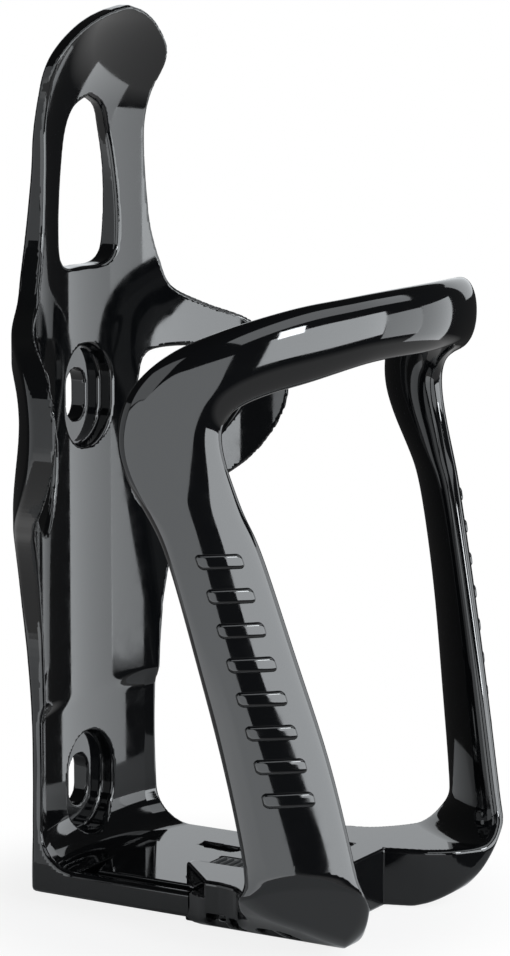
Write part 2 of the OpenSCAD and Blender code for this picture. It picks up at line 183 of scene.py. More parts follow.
def skin(name, solid, low, high, cell):
    """Mesh object over a solid given as a distance field of x, y and height in millimetres."""
    # one point in each grid cell that the surface crosses, at the mean of its crossings
    axes = [np.arange(a, b + cell, cell) for a, b in zip(low, high)]
    x, y, h = axes[0][:, None, None], axes[1][None, :, None], axes[2][None, None, :]
    depth = solid(x, y, h).astype(np.float32)
    filled = depth < 0
    shape = np.array(depth.shape) - 1
    crossed = np.zeros(shape, bool)
    total = np.zeros(tuple(shape) + (3,), np.float32)
    weight = np.zeros(shape, np.float32)
    corner = [slice(0, -1), slice(1, None)]
    for axis in range(3):
        others = [k for k in range(3) if k != axis]
        for s in (0, 1):
            for t in (0, 1):
                first = [None] * 3
                first[others[0]], first[others[1]] = corner[s], corner[t]
                second = list(first)
                first[axis], second[axis] = corner[0], corner[1]
                a, b = depth[tuple(first)], depth[tuple(second)]
                hit = (a < 0) != (b < 0)
                share = np.where(hit, a / np.where(hit, a - b, 1), 0)
                total[..., axis] += share
                total[..., others[0]] += hit * np.float32(s)
                total[..., others[1]] += hit * np.float32(t)
                weight += hit
                crossed |= hit
    number = np.full(shape, -1, np.int64)
    number[crossed] = np.arange(crossed.sum())
    spot = total[crossed] / weight[crossed][:, None] + np.argwhere(crossed)
    points = np.array(low, float) + spot * cell
    # one face round each grid edge that the surface crosses
    quads = []
    for axis in range(3):
        b, c = (axis + 1) % 3, (axis + 2) % 3
        low_side, high_side = [slice(1, -1)] * 3, [slice(1, -1)] * 3
        low_side[axis], high_side[axis] = slice(0, -1), slice(1, None)
        change = filled[tuple(low_side)] != filled[tuple(high_side)]
        at = np.argwhere(change)
        at[:, b] += 1
        at[:, c] += 1
        ring = []
        for s, t in ((1, 1), (0, 1), (0, 0), (1, 0)):
            beside = at.copy()
            beside[:, b] -= s
            beside[:, c] -= t
            ring.append(number[tuple(beside.T)])
        ring = np.stack(ring, 1)
        outward = filled[tuple(low_side)][change]
        ring[~outward] = ring[~outward][:, ::-1]
        quads.append(ring)
    quads = np.concatenate(quads)
    # even out the mesh, then draw it onto the solid and take its normals from there
    start, end = quads.ravel(), np.roll(quads, -1, 1).ravel()
    meets = np.maximum(np.bincount(end, minlength=len(points)), 1)
    for _ in range(3):
        mean = np.stack([np.bincount(end, points[start, k], len(points)) for k in range(3)], 1)
        points += 0.5 * (mean / meets[:, None] - points)
    step = 0.05
    for _ in range(4):
        here = solid(points[:, 0], points[:, 1], points[:, 2])
        slope = np.stack([(solid(*(points + step * np.eye(3)[k]).T) - here) / step
                          for k in range(3)], 1)
        move = -here[:, None] * slope / np.maximum((slope ** 2).sum(1), 0.25)[:, None]
        points += np.clip(move, -0.4 * cell, 0.4 * cell)
    piece = mesh_object(name, points, quads.tolist())
    slope /= np.maximum(np.linalg.norm(slope, axis=1), 1e-6)[:, None]
    piece.data.normals_split_custom_set_from_vertices(slope.tolist())
    piece.data.update()
    return piece


# outlines by half width and height: the spine from the tray to the tip, an ear's hole, the window
half_spine = smooth_line([
    (18.2, 2.4), (18.2, 6.4), (17.7, 12.4), (17.4, 22), (17.6, 32), (18.3, 42.4), (19.4, 49),
    (21, 55), (23.6, 59.8), (27, 63), (31.7, 67.4), (34.6, 73.5), (35.5, 80), (34.5, 86.2),
    (31.3, 90.8), (26, 93.6), (20.1, 97), (17.9, 101.4), (16.1, 107), (15.2, 114), (14.8, 121),
    (15.2, 128.2), (16.3, 132.7), (15.9, 135.4), (14.3, 137.4), (12, 139.2), (8.8, 141),
    (4.8, 142.4), (0, 143.3)], 6)
spine_outline = outline_depth(np.concatenate([half_spine, half_spine[::-1] * (-1, 1)]))
ear_hole = outline_depth(smooth_line([
    (14.4, 85.2), (13, 80.4), (10.6, 74), (10.7, 68.2), (12.5, 62.8), (14.9, 60.3), (17.6, 61.2),
    (22, 65.4), (26.5, 70.4), (29.9, 76.4), (30.8, 81.2), (29.2, 84.8), (25, 86.4), (17.6, 86.6)],
    6, closed=True))
half_window = smooth_line([
    (0, 101.6), (5, 101.7), (7.8, 103.2), (8.5, 106.4), (8.3, 112), (7.4, 118), (6.1, 123),
    (4, 127), (0, 128.8)], 6)
window = outline_depth(np.concatenate([half_window, half_window[::-1] * (-1, 1)]))
# plan of the hollow in the tray that the tongue lies in, with the finger that fits its notch
tongue_recess = outline_depth([
    (-16.3, -62), (14.7, -62), (14.7, -21.7), (7.2, -21.7), (6.7, -29.2), (5.6, -30.2),
    (4.3, -29), (4.3, -13.6), (-16.3, -13.6)])


def back_frame_solid(x, y, h):
    """Distance to the back frame, negative inside it."""
    r = np.hypot(x, y - SPINE_AXIS_Y)
    side = np.abs(x)
    # the wall, thicker at the ears, and flatter beside the lower slot
    flat = np.minimum(side ** 2 * FLATTER, FLAT_MOST) * (1 - ease(h, *FLAT_END))
    thick = WALL + EAR_EXTRA * ease(h, *THICKER) * (1 - ease(h, *THINNER))
    # the tip leans over the bottle, and the ears bend in towards it
    lean = (r - SPINE_FACE_R) * math.cos(TIP_LEAN) + (h - TIP_HEIGHT) * math.sin(TIP_LEAN)
    wrap = WRAP * np.maximum(side - WRAP_FROM, 0) ** 2
    face = join(SPINE_FACE_R + flat - wrap - r, -lean, TIP_FACE_R)
    back = cut(r - SPINE_FACE_R - thick + wrap, lean - WALL, TIP_BACK_R)
    # the cove runs down from the wall into the tray
    body = np.maximum(join(face, h - TRAY_TOP, COVE_R), back)
    body = cut(body, spine_outline(x, h), 0.7)
    body = cut(body, TRAY_FRONT - y, 0.4)
    # pads that stand on the tube of the bicycle, the lower one cut off above the sole
    for slot in SLOT_HEIGHTS:
        pad = np.maximum(pill(x, h - slot, *PAD), TRAY_BOTTOM + 0.6 - h)
        pad = cut(pad, np.maximum(y, -PAD_DEEP - y), 0.5)
        body = join(body, pad, 0.8)
    body = np.maximum(body, y)
    # openings: ears, which widen towards the back, window, and bolt recesses with their slots
    draft = 0.8 * np.maximum(r - SPINE_FACE_R - 1.0, 0)
    body = cut(body, draft - ear_hole(side, h), 0.6)
    body = cut(body, -window(x, h), 0.75)
    for slot in SLOT_HEIGHTS:
        recess = cut(pill(x, h - slot, *RECESS), y - RECESS_FLOOR_Y, 0.5)
        body = cut(body, -recess, 0.55)
        body = cut(body, -pill(x, h - slot, *SLOT), 0.35)
    # hollow for the tongue, slot for the stem and notches for the spring
    hollow = np.maximum(tongue_recess(x, y), HOLLOW_FLOOR - h)
    body = cut(body, -hollow, 0.25)
    from_lock = np.abs(x - LOCK_X)
    stem_way = np.maximum(from_lock - STEM_HALF, np.maximum(STEM_FRONT - y, y - STEM_BACK))
    body = np.maximum(body, -stem_way)
    for notch in NOTCH_ROW:
        groove = np.hypot(y - notch, h - TRAY_BOTTOM) - NOTCH_R
        groove = np.maximum(groove, from_lock - NOTCH_HALF)
        body = np.maximum(body, -groove)
    return body


# the grid starts at odd values, so that flat faces don't fall on its points
back_frame = skin("back_frame_moulding", back_frame_solid,
                  low=(-37.13, -54.17, 0.87), high=(37, 1.5, 145), cell=0.45)


def linear(hex_colour):
    """A colour written as sRGB hex, as the linear values that the shader takes."""
    parts = [int(hex_colour[i:i + 2], 16) / 255 for i in (1, 3, 5)]
    return [p / 12.92 if p <= 0.04045 else ((p + 0.055) / 1.055) ** 2.4 for p in parts] + [1.0]


def add_node(material, kind, settings=None, links=None):
    """Adds a node, sets its inputs and properties, and links sockets of earlier nodes into it.
    Inputs go by name, or by number where a node has several of one name."""
    node = material.node_tree.nodes.new(kind)
    for key, value in (settings or {}).items():
        if isinstance(key, str) and hasattr(node, key):
            setattr(node, key, value)
        else:
            node.inputs[key].default_value = value
    for key, source in (links or {}).items():
        material.node_tree.links.new(source, node.inputs[key])
    return node


def new_material(name):
    """An empty material that takes nodes."""
    material = bpy.data.materials.new(name)
    material.use_nodes = True
    material.node_tree.nodes.clear()
    return material


# Glass-filled nylon, moulded in a polished tool: near black, with a clear mirror-like gloss that
# wavers a little where the wall cooled unevenly, and faint rubbing from bottle and hands.
gloss_nylon = new_material("gloss_black_nylon")
where = add_node(gloss_nylon, "ShaderNodeTexCoord")
flow = add_node(gloss_nylon, "ShaderNodeTexNoise", {"Scale": 1000 / 18, "Detail": 2.0},
                {"Vector": where.outputs["Object"]})
tint = add_node(gloss_nylon, "ShaderNodeMix", {
    "data_type": "RGBA", 6: linear("#040405"), 7: linear("#08090a")}, {0: flow.outputs["Fac"]})
rub = add_node(gloss_nylon, "ShaderNodeTexNoise", {"Scale": 1000 / 2.5, "Detail": 5.0},
               {"Vector": where.outputs["Object"]})
polish = add_node(gloss_nylon, "ShaderNodeMapRange", {
    "From Min": 0.35, "From Max": 0.75, "To Min": 0.035, "To Max": 0.085},
    {"Value": rub.outputs["Fac"]})
sink = add_node(gloss_nylon, "ShaderNodeBump", {"Strength": 0.05, "Distance": 0.0002},
                {"Height": flow.outputs["Fac"]})
plastic = add_node(gloss_nylon, "ShaderNodeBsdfPrincipled", {"IOR": 1.53}, {
    "Base Color": tint.outputs[2], "Roughness": polish.outputs["Result"],
    "Normal": sink.outputs["Normal"]})
add_node(gloss_nylon, "ShaderNodeOutputMaterial", {}, {"Surface": plastic.outputs["BSDF"]})

back_frame.data.materials.append(gloss_nylon)
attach(back_frame, "frame")
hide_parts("back_frame")

# Front hoop: the other moulded half, of the same nylon. A rounded band goes round the bottle, turns
# down at two elbows into the legs, and the legs end in feet that wrap round the tray. A sole under
# the tray and a tongue in it guide the hoop as it slides.
# place of the hoop's axis, distance to the middle of the band, its upper and lower edge
HOOP_Y = -26.7
HOOP_MID_R = 40.6
HOOP_TOP = 102.1
HOOP_LOW = 91.7
# thickness of the band and of the legs
BAND = 5.2
LEG = 4.6


def hoop_spot(angle, radius, height):
    """A point round the hoop's axis, by its angle from the front."""
    a = math.radians(angle)
    return radius * math.sin(a), HOOP_Y - radius * math.cos(a), height


# from the front to the foot: the band's top or back edge and its bottom or front edge, each by
# angle, distance from the middle of the band and height, and then its thickness
half_band = [hoop_spot(a, HOOP_MID_R + r, z) + hoop_spot(b, HOOP_MID_R + s, w) + (t,)
             for a, r, z, b, s, w, t in [
    (0, 0, HOOP_TOP, 0, 0, HOOP_LOW, BAND),
    (18.5, 0, HOOP_TOP - 0.4, 18.5, 0, HOOP_LOW - 0.2, BAND),
    (28, 0.2, HOOP_TOP - 1, 28, 0.2, HOOP_LOW - 1.3, BAND),
    (37, 0.4, HOOP_TOP - 1.7, 36.5, 0.4, HOOP_LOW - 2.7, BAND),
    (46.5, 0.6, HOOP_TOP - 3.2, 45.5, 0.6, HOOP_LOW - 4.2, BAND),
    (56, 0.8, HOOP_TOP - 5.3, 52, 0.9, HOOP_LOW - 6.2, BAND),
    (65.5, 1.1, HOOP_TOP - 8.4, 54.4, 1.2, HOOP_LOW - 8.6, BAND),
    (73, 1.9, HOOP_TOP - 13.6, 54.6, 1.5, HOOP_LOW - 11.2, BAND),
    (75.4, 2.8, HOOP_TOP - 20.4, 53.8, 1.7, HOOP_LOW - 14.2, BAND),
    (73.4, 3.6, HOOP_TOP - 26.2, 52.2, 1.8, HOOP_LOW - 17.8, BAND),
    (69.4, 4.2, HOOP_TOP - 31.4, 50, 1.9, HOOP_LOW - 22.2, BAND),
    (65.4, 4.3, 64.4, 46.8, 2.2, 64.4, LEG),
    (59.8, 4.2, 48.4, 40.2, 3.4, 48.4, LEG),
    (54.6, 3.5, 32.4, 33.9, 5.0, 32.4, LEG),
    (50.4, 3.5, 16.0, 29.9, 6.9, 16.4, LEG),
    (51.4, 3.4, 11.5, 28.9, 7.7, 11.5, LEG + 0.2),
    (53.5, 3.2, 6.0, 28.4, 7.8, 6.0, LEG + 0.6),
    (54.0, 3.1, -3.0, 28.2, 7.8, -3.0, LEG + 0.6)]]
half_band = np.array(half_band)
other_side = np.array([-1, 1, 1, -1, 1, 1, 1])
band_line = smooth_line(np.concatenate([half_band[:0:-1] * other_side, half_band]), 16)
# even out what is left of the corners between the stations
for _ in range(40):
    band_line[1:-1] += 0.25 * (band_line[2:] + band_line[:-2] - 2 * band_line[1:-1])
rows = len(band_line)
# the section is a slightly squared ellipse: lift goes across the band, bulge through it
SECTION = 144
SECTION_POWER = 0.94
turn = np.linspace(0, 2 * math.pi, SECTION, endpoint=False)
lift = np.sign(np.cos(turn)) * np.abs(np.cos(turn)) ** SECTION_POWER
bulge = np.sign(np.sin(turn)) * np.abs(np.sin(turn)) ** SECTION_POWER
top, low = band_line[:, :3], band_line[:, 3:6]
middle_line = (top + low) / 2
across = (top - low) / 2
out = np.cross(np.gradient(top + low, axis=0), across)
out *= (band_line[:, 6] / 2 / np.linalg.norm(out, axis=1))[:, None]
# a soft ridge runs down the outside of each leg: its rise as a share of half the thickness, its
# angle and width in degrees round the section, and the heights between which its ends fade
RIDGE_RISE = 0.018
RIDGE_ANGLE, RIDGE_WIDE = 52, 6
RIDGE_LOW, RIDGE_TOP = (14, 20), (84, 92)
ridge = RIDGE_RISE * np.exp(-((np.degrees(turn) - RIDGE_ANGLE) / RIDGE_WIDE) ** 2)
ridge = ridge * (1 - ease(middle_line[:, 2:], *RIDGE_TOP)) * ease(middle_line[:, 2:], *RIDGE_LOW)
band_points = (middle_line[:, None] + across[:, None] * lift[:, None]
               + out[:, None] * (bulge + ridge)[:, :, None])


def tube_faces(count, around):
    """Faces between rings of points that are numbered one ring after the other."""
    return [(i * around + k, i * around + (k + 1) % around,
             (i + 1) * around + (k + 1) % around, (i + 1) * around + k)
            for i in range(count - 1) for k in range(around)]


band_faces = tube_faces(rows, SECTION)
band_faces.append(tuple(range(SECTION))[::-1])
band_faces.append(tuple((rows - 1) * SECTION + k for k in range(SECTION)))
band_tree = BVHTree.FromPolygons(band_points.reshape(-1, 3).tolist(), band_faces)
# cells of 1 mm near the lower legs, outside which the distance to them isn't needed
BAND_CELL = 1.0
BAND_REACH = 6.0
LEGS_BELOW = 26
NEAR = 6
nearby = range(-NEAR, NEAR + 1)
band_cells = np.unique(np.floor(band_points.reshape(-1, 3) / BAND_CELL).astype(int), axis=0)
band_cells = band_cells[band_cells[:, 2] < LEGS_BELOW]
first_cell = band_cells.min(0) - NEAR
near_band = np.zeros(band_cells.max(0) + NEAR + 1 - first_cell, bool)
for shift in [(i, j, k) for i in nearby for j in nearby for k in nearby]:
    near_band[tuple((band_cells + shift - first_cell).T)] = True


def band_depth(x, y, h):
    """Distance to the swept band and legs, true up to a few millimetres from them."""
    x, y, h = np.broadcast_arrays(np.abs(x), y, h)
    spots = np.stack([x, y, h], -1).reshape(-1, 3)
    cell = np.floor(spots / BAND_CELL).astype(int) - first_cell
    close = ((cell >= 0) & (cell < near_band.shape)).all(1)
    close[close] = near_band[tuple(cell[close].T)]
    depth = np.full(len(spots), BAND_REACH)
    for i in np.nonzero(close)[0]:
        spot = Vector(spots[i])
        found, normal, _, gap = band_tree.find_nearest(spot)
        depth[i] = gap if (spot - found).dot(normal) > 0 else -gap
    return np.minimum(depth, BAND_REACH).reshape(x.shape)


# heights of the sole, the tongue and the flanges over the tray, and where the sole begins and ends
SOLE_TOP = 2.1
TONGUE_LOW, TONGUE_TOP = 4.9, 7.0
FLANGE_LOW, FLANGE_TOP = 6.7, 9.5
SOLE_FRONT, SOLE_BACK = -54.3, -31.3
SOLE_HALF = 13
# the bridge joins the feet in front of the tray
BRIDGE_HALF, BRIDGE_BACK = 12, -49.0
# wall of a foot beside the tray: its inside, outside, top and front, and a point and the slope of
# the bevel at its back end
BESIDE_IN, BESIDE_OUT = 18.2, 20.5
BESIDE_TOP, BESIDE_FRONT = 7.0, -46
BEVEL_X, BEVEL_Y, BEVEL_SLOPE = 19, -36.2, 2.05
# room for the tray: its half width, that at the foot of its cut-off corners, and that in front
TRAY_WAY, TRAY_WAY_LOW = 18.5, 17.5
TRAY_CLEAR = 0.3
# plan of one foot, from its back end round the toe
foot_plan = outline_depth(np.concatenate([
    [(10.5, SOLE_BACK), (12.4, SOLE_BACK), (20.5, -39.6)],
    smooth_line([
        (20.5, -42), (21.8, -46), (25.4, -49.6), (30.4, -52.6), (33.8, -55.6), (33.1, -58.6),
        (30.5, -62.4), (26.5, -67.2), (23.4, -68.5), (19.5, -67.6), (15.6, -65), (12.8, -61)], 6),
    [(10.5, SOLE_FRONT)]]))
# underside of the feet seen from the front, and the rounded toe seen from the side
foot_hull = outline_depth(np.concatenate([
    [(-12, 40), (-12, 0)],
    smooth_line([(12.5, 0), (16, 0.9), (20, 2.5), (25, 5.3), (30, 8.2), (34, 11.4)], 6),
    [(44, 19.4), (44, 40)]]))
foot_toe = outline_depth(np.concatenate([
    smooth_line([(-58.6, 0), (-61.8, 1), (-65, 3), (-67.6, 6), (-69, 9.4), (-69.4, 12.5)], 6),
    [(-69.4, 40), (0, 40), (0, 0)]]))
# the way out from a leg in plan, the place of its outside, and how that leans in below a height
LEG_OUT = (0.787, -0.617)
LEG_FACE = 62.9
FOOT_LEAN_TOP = 14.8
FOOT_LEAN = 0.56
# the tongue has a rounded back edge and a notch between its two prongs
TONGUE_R = 43.1
tongue_plan = outline_depth(np.concatenate([
    [(-16, SOLE_FRONT), (14.4, SOLE_FRONT), (14.4, -22), (7.6, -22), (7, -29.6), (5.6, -30.6),
     (4, -29.4)],
    [(s, SPINE_AXIS_Y + math.sqrt(TONGUE_R ** 2 - s * s)) for s in (4, 0, -4, -8, -12, -16)]]))
# the pin of the lever, and the half lengths of its bore and of the lugs that hold it
PIN_Y, PIN_HEIGHT = -42.6, 6.7
PIN_R = 0.8
LUG_R = 1.8
LUG_HALF, BORE_HALF = 7.7, 8.2
# half round core-outs under the lower edge of a foot, each with a rib across it
CORE_ROW = (-43.2, -52.9)
CORE_R = 3.4
CORE_X, CORE_IN = 20.3, 18.4
CORE_TOP = 4.3
RIB_HALF, RIB_AHEAD = 0.5, 0.8
# the solid's legs are thinner than the swept ones by this, so that those cover them at the seam
SEAM = 0.012


def front_hoop_solid(x, y, h):
    """Distance to the front hoop's feet, sole and tongue, negative inside them."""
    side = np.abs(x)
    # legs and feet, inside a hull that leans in towards the underside and the toe
    outwards = LEG_OUT[0] * side + LEG_OUT[1] * y - LEG_FACE
    lean = (outwards + FOOT_LEAN * (FOOT_LEAN_TOP - h)) / math.hypot(1, FOOT_LEAN)
    bound = cut(lean, np.maximum(foot_hull(side, h), foot_toe(y, h)), 0.9)
    bound = np.where(h > FOOT_LEAN_TOP + 1.6, -3.0, bound)
    foot = cut(foot_plan(side, y), h - FLANGE_TOP, 0.6)
    bridge = block(x, y, h,
                   (-BRIDGE_HALF, SOLE_FRONT, 0), (BRIDGE_HALF, BRIDGE_BACK, FLANGE_TOP))
    # back end of the wall beside the tray, bevelled
    bevel = y - BEVEL_Y + (side - BEVEL_X) * BEVEL_SLOPE
    end = cut(cut(BESIDE_IN - side, bevel, 0.2),
              np.maximum(side - BESIDE_OUT, BESIDE_FRONT - y), 0.5)
    end = np.maximum(end, h - BESIDE_TOP)
    foot = np.minimum(foot, end)
    base = join(np.minimum(foot, bridge), band_depth(x, y, h) + SEAM, 5.5)
    base = cut(base, bound, 0.9)
    sole = block(x, y, h, (-SOLE_HALF, SOLE_FRONT, 0), (SOLE_HALF, SOLE_BACK, SOLE_TOP))
    base = np.minimum(base, sole)
    # room for the tray and its rims, with the tray's lower corners cut off at 45 degrees
    corner = (side - TRAY_WAY_LOW + TRAY_BOTTOM - h) * 0.7071
    between = np.maximum(SOLE_TOP - h, h - FLANGE_LOW)
    way = np.maximum(np.maximum(side - TRAY_WAY, corner),
                     np.maximum(between, TRAY_FRONT - TRAY_CLEAR - y))
    base = cut(base, -way, 0.2)
    tongue = cut(tongue_plan(x, y), np.maximum(TONGUE_LOW - h, h - TONGUE_TOP), 0.25)
    body = np.minimum(base, tongue)
    from_lock, from_pin = np.abs(x - LOCK_X), np.hypot(y - PIN_Y, h - PIN_HEIGHT)
    lug_foot = np.maximum(TONGUE_LOW - h, h - PIN_HEIGHT)
    lug = np.minimum(from_pin - LUG_R, np.maximum(np.abs(y - PIN_Y) - LUG_R, lug_foot))
    body = np.minimum(body, np.maximum(lug, from_lock - LUG_HALF))
    for middle in CORE_ROW:
        round_hole = np.hypot(side - CORE_X, y - middle) - CORE_R
        hole = np.maximum(np.maximum(round_hole, CORE_IN - side), h - CORE_TOP)
        hole = np.maximum(hole, RIB_HALF - np.abs(y - middle + RIB_AHEAD))
        body = cut(body, -hole, 0.2)
    # openings for the lever, for the spring's foot and its bend, and for the pin
    lever_way = block(x, y, h, (-9.5, -44.5, 2.9), (1.1, -30.0, 30))
    leaf_seat = block(x, y, h, (-8.5, -48.3, 1.7), (0.1, -30.3, 3.8))
    leaf_room = block(x, y, h, (-8.5, -41.0, 0.8), (0.1, -30.3, 2.9))
    bore = np.maximum(from_pin - PIN_R, from_lock - BORE_HALF)
    for opening in (lever_way, leaf_seat, leaf_room, bore):
        body = np.maximum(body, -opening)
    return body


# the band and legs are a mesh along the sweep, which goes on a little way into the feet
FEET_TOP = 19.0
OVERLAP = 1.8


def feet_solid(x, y, h):
    """The hoop's solid, up to where the swept legs take over."""
    return np.maximum(front_hoop_solid(x, y, h), h - FEET_TOP)


def sweep(name, rings):
    """Mesh object through closed rings of points, with its ends closed."""
    count, around = rings.shape[:2]
    faces = tube_faces(count, around)
    ends = count * around
    faces.append([ends + k for k in range(around)][::-1])
    faces.append([ends + around + k for k in range(around)])
    piece = mesh_object(name, np.concatenate([rings.reshape(-1, 3), rings[0], rings[-1]]), faces)
    for cap in (-2, -1):
        piece.data.polygons[cap].use_smooth = False
    return piece


feet = skin("front_hoop_feet", feet_solid,
            low=(-42.13, -74.17, -2.07), high=(42, -10, FEET_TOP + 2), cell=0.38)
above_feet = band_points[:, :, 2].max(1) > FEET_TOP - OVERLAP
band = sweep("front_hoop_band", band_points[above_feet])
for half in (feet, band):
    half.data.materials.append(gloss_nylon)
    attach(half, "hoop")
    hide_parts("front_hoop")

# Grip bars: a row of plain raised bars down the outside of each leg, moulded in one with it. They
# are rounded strips that follow the curve of the leg and sink into it at their edges.
# size and place of the bars: width along the leg, span in degrees round its section, how far they
# stand out and reach in, their rounded rim, and the leg's half width that turns the span into length
BAR_COUNT = 8
BAR_WIDE = 2.6
BAR_SPAN = (62, 122)
BAR_RISE = 0.55
BAR_ROOT = 0.4
BAR_RIM = 1.0
LEG_HALF_WIDE = 7.0
BAR_HEIGHTS = np.linspace(27.5, 63.5, BAR_COUNT)
# steps of a bar's mesh, along the leg and round its section
ALONG, AROUND = 24, 40


def leg_spot(row, angle, rise):
    """A point so far outside the band, at a place along it and an angle round its section."""
    mid, wide, thick = ([np.interp(row, np.arange(rows), part[:, k]) for k in range(3)]
                        for part in (middle_line, across, out))
    mid, wide, thick = (np.stack(part, -1) for part in (mid, wide, thick))
    c, s = np.cos(angle)[..., None], np.sin(angle)[..., None]
    normal = (wide * c / (wide ** 2).sum(-1, keepdims=True)
              + thick * s / (thick ** 2).sum(-1, keepdims=True))
    normal /= np.linalg.norm(normal, axis=-1, keepdims=True)
    return mid + wide * c + thick * s + normal * rise[..., None]


# places in a bar's mesh, from -1 to 1 along the leg and round it, and how far each is past the rim
u, v = np.meshgrid(np.linspace(-1, 1, ALONG + 1), np.linspace(-1, 1, AROUND + 1), indexing="ij")
bar_angle = np.radians((BAR_SPAN[0] + BAR_SPAN[1]) / 2 + v * (BAR_SPAN[1] - BAR_SPAN[0]) / 2)
half_long = math.radians(BAR_SPAN[1] - BAR_SPAN[0]) / 2 * LEG_HALF_WIDE
past_rim = np.hypot(np.maximum(np.abs(u) * BAR_WIDE / 2 - BAR_WIDE / 2 + BAR_RIM, 0),
                    np.maximum(np.abs(v) * half_long - half_long + BAR_RIM, 0))
bar_rise = (BAR_RISE + BAR_ROOT) * np.sqrt(np.clip(1 - past_rim ** 4, 0, 1)) - BAR_ROOT
# faces of the crown, of the root inside the leg, and of the rim between them
number_at = np.arange(u.size).reshape(u.shape)
bar_faces = []
for i in range(ALONG):
    for k in range(AROUND):
        corners = [(i, k), (i, k + 1), (i + 1, k + 1), (i + 1, k)]
        crown_face = [int(number_at[corner]) for corner in corners]
        bar_faces.append(crown_face)
        bar_faces.append([u.size + spot for spot in crown_face[::-1]])
rim = np.concatenate([
    number_at[0, :-1], number_at[:-1, -1], number_at[-1, :0:-1], number_at[:0:-1, 0]])
for a, b in zip(rim.tolist(), np.roll(rim, -1).tolist()):
    bar_faces.append((a, u.size + a, u.size + b, b))
leg_rows = np.arange(rows // 2)
for side in ("left", "right"):
    for number, height in enumerate(BAR_HEIGHTS, 1):
        row = np.interp(height, middle_line[:rows // 2, 2], leg_rows)
        pitch = np.linalg.norm(np.diff(middle_line[int(row):int(row) + 2], axis=0))
        along = row + u * BAR_WIDE / 2 / pitch
        if side == "right":
            along = rows - 1 - along
        crown = leg_spot(along, bar_angle, bar_rise)
        root = leg_spot(along, bar_angle, np.full(u.shape, -BAR_ROOT - 0.05))
        faces = bar_faces if side == "right" else [face[::-1] for face in bar_faces]
        bar = mesh_object(f"grip_bar_{side}_{number}",
                          np.concatenate([crown.reshape(-1, 3), root.reshape(-1, 3)]), faces)
        bar.data.materials.append(gloss_nylon)
        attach(bar, "hoop")

# Lock lever: a small press lever of the same nylon, moulded in a tool that was etched, so that its
# pad is matt and grips the thumb. It swings on the pin and its stem reaches down to the spring.
# Etched nylon: dark grey, with a fine even grain that breaks up the shine. The grain is drawn at
# 0.35 mm, a little coarser than it would be, so that it shows.
etched_nylon = new_material("etched_black_nylon")
where = add_node(etched_nylon, "ShaderNodeTexCoord")
grain = add_node(etched_nylon, "ShaderNodeTexNoise", {"Scale": 1000 / 0.35, "Detail": 3.0},
                 {"Vector": where.outputs["Object"]})
patch = add_node(etched_nylon, "ShaderNodeTexNoise", {"Scale": 1000 / 4.0, "Detail": 2.0},
                 {"Vector": where.outputs["Object"]})
tint = add_node(etched_nylon, "ShaderNodeMix", {
    "data_type": "RGBA", 6: linear("#141516"), 7: linear("#1e2021")}, {0: patch.outputs["Fac"]})
polish = add_node(etched_nylon, "ShaderNodeMapRange", {
    "From Min": 0.3, "From Max": 0.7, "To Min": 0.38, "To Max": 0.55},
    {"Value": grain.outputs["Fac"]})
pits = add_node(etched_nylon, "ShaderNodeBump", {"Strength": 0.5, "Distance": 0.00008},
                {"Height": grain.outputs["Fac"]})
plastic = add_node(etched_nylon, "ShaderNodeBsdfPrincipled", {"IOR": 1.53}, {
    "Base Color": tint.outputs[2], "Roughness": polish.outputs["Result"],
    "Normal": pits.outputs["Normal"]})
add_node(etched_nylon, "ShaderNodeOutputMaterial", {}, {"Surface": plastic.outputs["BSDF"]})

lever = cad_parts["lock_lever"]
lever.data.materials.clear()
lever.data.materials.append(etched_nylon)

# Lever pin: a cut length of ground stainless rod. It is pressed through the lugs of the tongue, and
# the lever turns on it.
# Ground steel: bright, with fine rings from the grinding wheel round its length. They are drawn
# further apart than they would be, so that they show.
RING_PITCH = 0.628
# a wave texture turns by so many radians in one unit
WAVE_TURN = 20
ground_steel = new_material("ground_stainless_steel")
where = add_node(ground_steel, "ShaderNodeTexCoord")
rings = add_node(ground_steel, "ShaderNodeTexWave", {
    "wave_type": "BANDS", "bands_direction": "X",
    "Scale": 1000 / RING_PITCH * 2 * math.pi / WAVE_TURN, "Distortion": 1.5, "Detail": 2.0},
    {"Vector": where.outputs["Object"]})
tint = add_node(ground_steel, "ShaderNodeMix", {
    "data_type": "RGBA", 6: linear("#a9abad"), 7: linear("#c3c5c6")}, {0: rings.outputs["Fac"]})
polish = add_node(ground_steel, "ShaderNodeMapRange", {
    "From Min": 0.0, "From Max": 1.0, "To Min": 0.18, "To Max": 0.3},
    {"Value": rings.outputs["Fac"]})
steel = add_node(ground_steel, "ShaderNodeBsdfPrincipled", {"Metallic": 1.0}, {
    "Base Color": tint.outputs[2], "Roughness": polish.outputs["Result"]})
add_node(ground_steel, "ShaderNodeOutputMaterial", {}, {"Surface": steel.outputs["BSDF"]})

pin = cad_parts["lever_pin"]
pin.data.materials.clear()
pin.data.materials.append(ground_steel)

